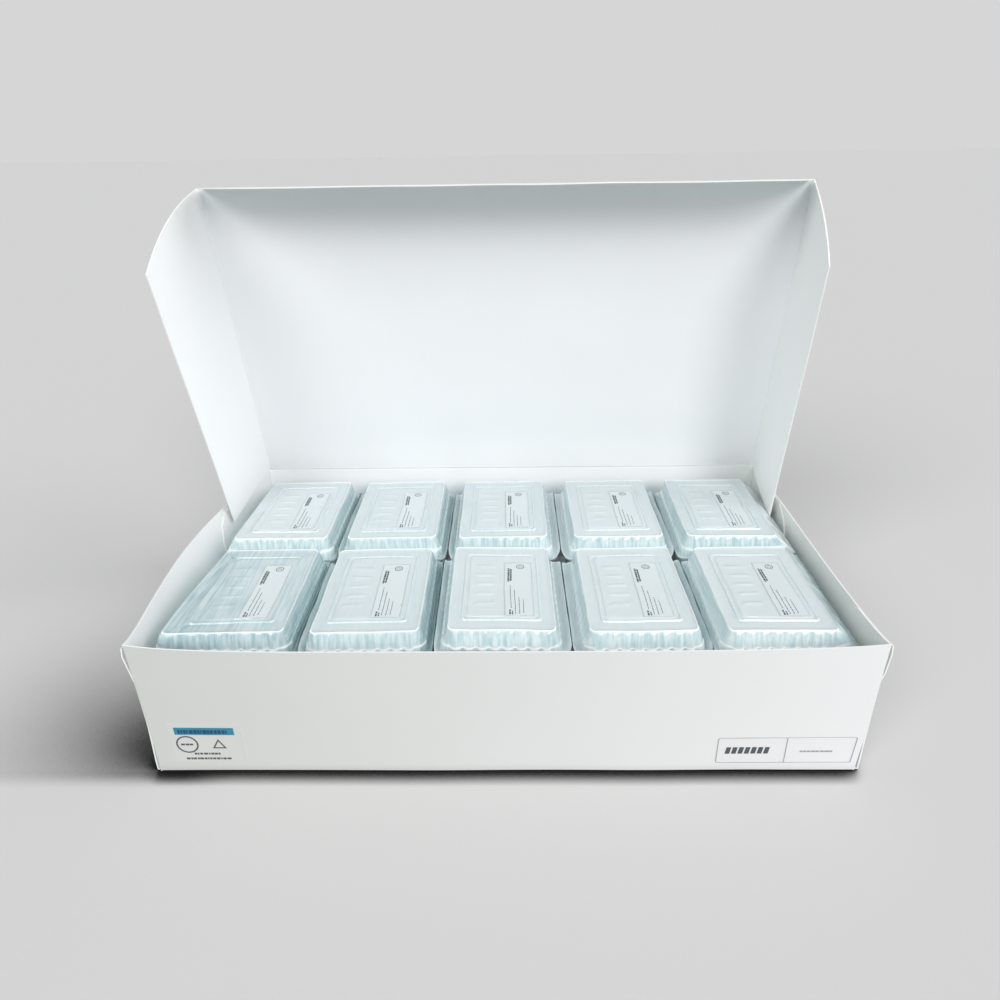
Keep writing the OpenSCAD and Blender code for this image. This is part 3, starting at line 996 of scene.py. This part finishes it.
def outline(points, width, z0, z1):
    """A closed line of the given width through points, as a flat raised band."""
    n = len(points)
    centre = np.mean(points, axis=0)
    inner, outer = [], []
    for p in np.array(points):
        away = (p - centre) / np.linalg.norm(p - centre)
        inner.append(p - away * width / 2)
        outer.append(p + away * width / 2)
    verts = [(p[0], p[1], z) for z in (z0, z1) for loop in (inner, outer) for p in loop]
    faces = []
    high = 2 * n
    for k in range(n):
        m = (k + 1) % n
        a, b, c, d = k, m, n + m, n + k
        faces += [(a + high, d + high, c + high, b + high), (a, b, c, d),
                  (a, a + high, b + high, b), (d, c, c + high, d + high)]
    return verts, faces


def circle(cx, cy, r, n=28):
    angles = [2 * math.pi * k / n for k in range(n)]
    return [(cx + r * math.cos(a), cy + r * math.sin(a)) for a in angles]


def rounded(x0, x1, y0, y1, r, steps=5):
    """A rectangle's outline with round corners."""
    corners = ((x1 - r, y1 - r, 0), (x0 + r, y1 - r, 90), (x0 + r, y0 + r, 180), (x1 - r, y0 + r, 270))
    return [point for cx, cy, start in corners for point in arc(cx, cy, r, start, steps, 1)]


def dashes(across, start, end, width, low, high, seed):
    """A printed line, broken into short strokes along v."""
    picks = np.random.default_rng(seed)
    shapes = []
    v = start
    while v < end - 0.6:
        stroke = min(picks.uniform(0.9, 3.2), end - v)
        shapes.append(slab(across - width / 2, across + width / 2, v, v + stroke, low, high))
        v += stroke + picks.uniform(0.35, 0.8)
    return shapes


def level(shapes):
    """The same strokes turned to run along the wall."""
    return [([(y, x, z) for x, y, z in verts], [f[::-1] for f in faces]) for verts, faces in shapes]


def joined(shapes):
    verts, faces = [], []
    for shape_verts, shape_faces in shapes:
        base = len(verts)
        verts += shape_verts
        faces += [tuple(base + k for k in face) for face in shape_faces]
    return verts, faces


# ---- pack labels
LABEL_X, LABEL_Y, LABEL_TOP = 12.5, -5.0, PACK_H + 0.9
LABEL_W, LABEL_L = 21.0, 69.0
LABEL_THICK, LABEL_SKIN = 0.15, 0.12
PRINT_LOW, PRINT_HIGH = 0.08, 0.19
# Broken lines of print: where across the label, from, to, width and seed
LABEL_LINES = ((-7.4, 8, 26, 1.5, 3), (-5.6, 9, 26, 1.2, 4), (-6.8, -33, -26.5, 1.2, 5),
               (-5.0, -33, -29, 0.9, 6), (-5.9, -25.5, 3, 0.45, 7), (-2.9, -32, -3, 0.45, 8),
               (0.1, -32, -12, 0.45, 9), (3.1, -31, -15, 0.4, 10))
BORDER_X, BORDER_Y, BORDER_LINE = 10.3, 34.1, 0.16
BORDER_PARTS, BORDER_PART = 10, 6.82


def label_border():
    """A fine line just inside the label's edge, its long sides in parts that follow the bent label."""
    ends = [(-BORDER_X, BORDER_X, y, y + BORDER_LINE) for y in (-BORDER_Y - 0.2, BORDER_Y)]
    sides = [(x, x + BORDER_LINE, BORDER_PART * k - BORDER_Y, BORDER_PART * (k + 1) - BORDER_Y)
             for x in (-BORDER_X, BORDER_X - 0.2) for k in range(BORDER_PARTS)]
    return [slab(*spot, PRINT_LOW, PRINT_HIGH) for spot in ends + sides]


def make_pack_label(i, matrix):
    """A clear label with plain strokes and marks on it: nothing that can be read."""
    def stuck(points):
        return [matrix @ Vector(formed(i, (LABEL_X + u, LABEL_Y + v, LABEL_TOP + w))) for u, v, w in points]

    grid = np.array([[(u, v, LABEL_SKIN) for v in np.linspace(-LABEL_L / 2, LABEL_L / 2, 24)]
                     for u in np.linspace(-LABEL_W / 2, LABEL_W / 2, 9)])
    verts, faces, _ = thick_sheets([grid], LABEL_THICK)
    sheet = new_piece(f"label_sheet_{i}", stuck(verts), faces, [LABEL_FILM], "tray")
    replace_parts(sheet, f"pack_label_{i}")
    shapes = []
    for across, start, end, width, seed in LABEL_LINES:
        shapes += dashes(across, start, end, width, PRINT_LOW, PRINT_HIGH, seed)
    shapes += [outline(circle(1.8, 28.6, 2.9), 0.5, PRINT_LOW, PRINT_HIGH),
               outline([(1.8, 30.6), (0.1, 27.7), (3.5, 27.7)], 0.45, PRINT_LOW, PRINT_HIGH)]
    verts, faces = joined(shapes)
    new_piece(f"pack_print_{i}", stuck(verts), faces, [INK], "tray")
    verts, faces = joined(label_border())
    new_piece(f"label_border_{i}", stuck(verts), faces, [PALE_INK], "tray")


# ---- print on the front wall
PAPER_THICK, PAPER_OFF = 0.2, 0.15
PAPER_X, PAPER_Z = (-236.0, -186.0), (9.0, 44.0)
# How far what is printed on stands off the wall's face, and how far the ink goes into it and out of it
PAPER_TOP, BOARD_TOP = 0.22, 0.3
INK_LOW, INK_HIGH, BOARD_INK_LOW = -0.02, 0.05, -0.32
BLOCKS_FROM, BLOCKS_TO, BLOCK_STEP = 153.6, 184.0, 4.5


def on_front(x, z, off):
    return flared((x, -front_face(x, z) - off, z))


def printed(name, shapes, base, ink_used):
    """Shapes in x, z and height, stood on the front wall."""
    verts, faces = joined(shapes)
    verts = [on_front(x, z, base + d) for x, z, d in verts]
    new_piece(name, verts, [f[::-1] for f in faces], [ink_used], "tray")


def make_carton_label():
    """The paper label with a blue bar, a ring, a triangle and rows of plain marks."""
    grid = np.array([[on_front(x, z, PAPER_OFF) for z in np.linspace(*PAPER_Z, 15)]
                     for x in np.linspace(*PAPER_X, 21)])
    verts, faces, _ = thick_sheets([grid], PAPER_THICK)
    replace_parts(new_piece("label_sheet", verts, faces, [PAPER], "tray"), "carton_label")
    bar = slab(-232.0, -190.0, 34.5, 41.0, INK_LOW, INK_HIGH)
    printed("label_bar", [bar], PAPER_TOP, BLUE_INK)
    bar_row = dashes(37.3, -229.5, -195.0, 3.4, INK_HIGH - 0.02, INK_HIGH + 0.05, 20)
    printed("label_bar_row", level(bar_row), PAPER_TOP, DEEP_BLUE_INK)
    marks = [outline(circle(-225.0, 25.5, 7.3, 40), 1.1, INK_LOW, INK_HIGH),
             outline([(-202.5, 29.6), (-206.6, 22.4), (-198.4, 22.4)], 1.9, INK_LOW, INK_HIGH)]
    for z, start, end, width, seed in ((25.5, -229.5, -220.5, 1.5, 21), (16.8, -221.5, -202.5, 1.7, 22),
                                       (12.2, -228.0, -196.0, 1.7, 23)):
        marks += level(dashes(z, start, end, width, INK_LOW, INK_HIGH, seed))
    printed("label_marks", marks, PAPER_TOP, INK)


def make_front_panel():
    """The outlined panel at the right: a row of bare slanted blocks and one broken line."""
    lines = [outline(rounded(148.0, 244.5, 7.9, 31.0, 1.5), 0.4, BOARD_INK_LOW, INK_HIGH),
             slab(195.8, 196.2, 8.1, 30.8, BOARD_INK_LOW, INK_HIGH)]
    lines += level(dashes(18.3, 206.0, 229.0, 1.1, BOARD_INK_LOW, INK_HIGH, 24))
    printed("front_frame", lines, BOARD_TOP, PALE_INK)
    blocks = [filled([(x, 16.4), (x + 3.0, 16.4), (x + 3.9, 22.2), (x + 0.9, 22.2)], BOARD_INK_LOW, INK_HIGH)
              for x in np.arange(BLOCKS_FROM, BLOCKS_TO, BLOCK_STEP)]
    printed("front_blocks", blocks, BOARD_TOP, INK)


# ---- floor
FLOOR, FLOOR_BOUNCE = (0.602, 0.597, 0.594), (0.45, 0.45, 0.45)
FLOOR_HALF = 40.0
CONTACT_DARK, SHADOW_DARK = (0.01, 0.01, 0.01), (0.02, 0.02, 0.02)
SHADOW_POWER, SHADOW_STRENGTH = 1.5, 2.1


def shelter(tree, reach, towards, closed, free):
    """How free the floor is from what stands within reach on one side: 0 beside a wall, 1 in the open."""
    node = tree.nodes.new("ShaderNodeAmbientOcclusion")
    node.samples = 16
    put(node, Distance=reach)
    side = tree.nodes.new("ShaderNodeCombineXYZ")
    put(side, **dict(zip("XYZ", Vector(towards).normalized())))
    tree.links.new(side.outputs[0], node.inputs["Normal"])
    return stepped(tree, node.outputs["AO"], closed, free)


def side_shadow(tree):
    """The soft shadow painted into the floor's colour beside the carton's left wall."""
    where = calc(tree, "MULTIPLY", zone(tree, "X", -0.19, -0.235), zone(tree, "Y", -0.158, -0.143))
    where = calc(tree, "MULTIPLY", where, zone(tree, "Y", 0.05, -0.22))
    beside = shelter(tree, 0.24, (0.75, 0.45, 0.48), 0.30, 0.97)
    shade_share = calc(tree, "POWER", calc(tree, "SUBTRACT", 1.0, beside), SHADOW_POWER)
    return calc(tree, "MULTIPLY", calc(tree, "MULTIPLY", shade_share, where), SHADOW_STRENGTH)


def floor_material():
    material = bpy.data.materials.new("floor")
    material.use_nodes = True
    tree = material.node_tree
    shader = tree.nodes["Principled BSDF"]
    put(shader, Roughness=0.9, Specular_IOR_Level=0.0)
    # Painted shadows: a thin contact shadow round the carton's foot and the soft side shadow darken the
    # floor's colour as the view sees it.
    contact = shelter(tree, 0.016, (0.45, 0.55, 0.70), 0.47, 0.88)
    shown = blend(tree, contact, CONTACT_DARK, blend(tree, side_shadow(tree), FLOOR, SHADOW_DARK))
    path = tree.nodes.new("ShaderNodeLightPath")
    tone = blend(tree, path.outputs["Is Camera Ray"], FLOOR_BOUNCE, shown)
    tree.links.new(tone, shader.inputs["Base Color"])
    return material


def make_floor():
    mesh = bpy.data.meshes.new("floor")
    corners = ((-1, -1), (1, -1), (1, 1), (-1, 1))
    mesh.from_pydata([(x * FLOOR_HALF, y * FLOOR_HALF, 0) for x, y in corners], [], [(0, 1, 2, 3)])
    mesh.materials.append(floor_material())
    floor = placed("floor", mesh)


def paint(node, material):
    mesh = frame["nodes"][node].data
    mesh.materials.clear()
    mesh.materials.append(material)


# ---- the whole
bpy.context.scene.view_settings.view_transform = "Standard"
set_camera()
set_light()
make_floor()
make_tray()
make_lid()
make_tuck()
make_side_flap("flap_left_board", -1, LEFT_LEAN, "left_flap", "lid_flap_left")
make_side_flap("flap_right_board", 1, RIGHT_LEAN, "right_flap", "lid_flap_right")
tip = one_tip()
tree, tree_sockets = tips_tree(tip)
for i in PACKS:
    where = pack_matrix(i)
    make_pack_lid(i, where)
    make_pack_base(i, where)
    make_tips(tree, tree_sockets, i, where)
    make_pack_label(i, where)
    paint(f"tip_rack_{i}", RACK)
bpy.data.objects.remove(tip)
make_carton_label()
make_front_panel()
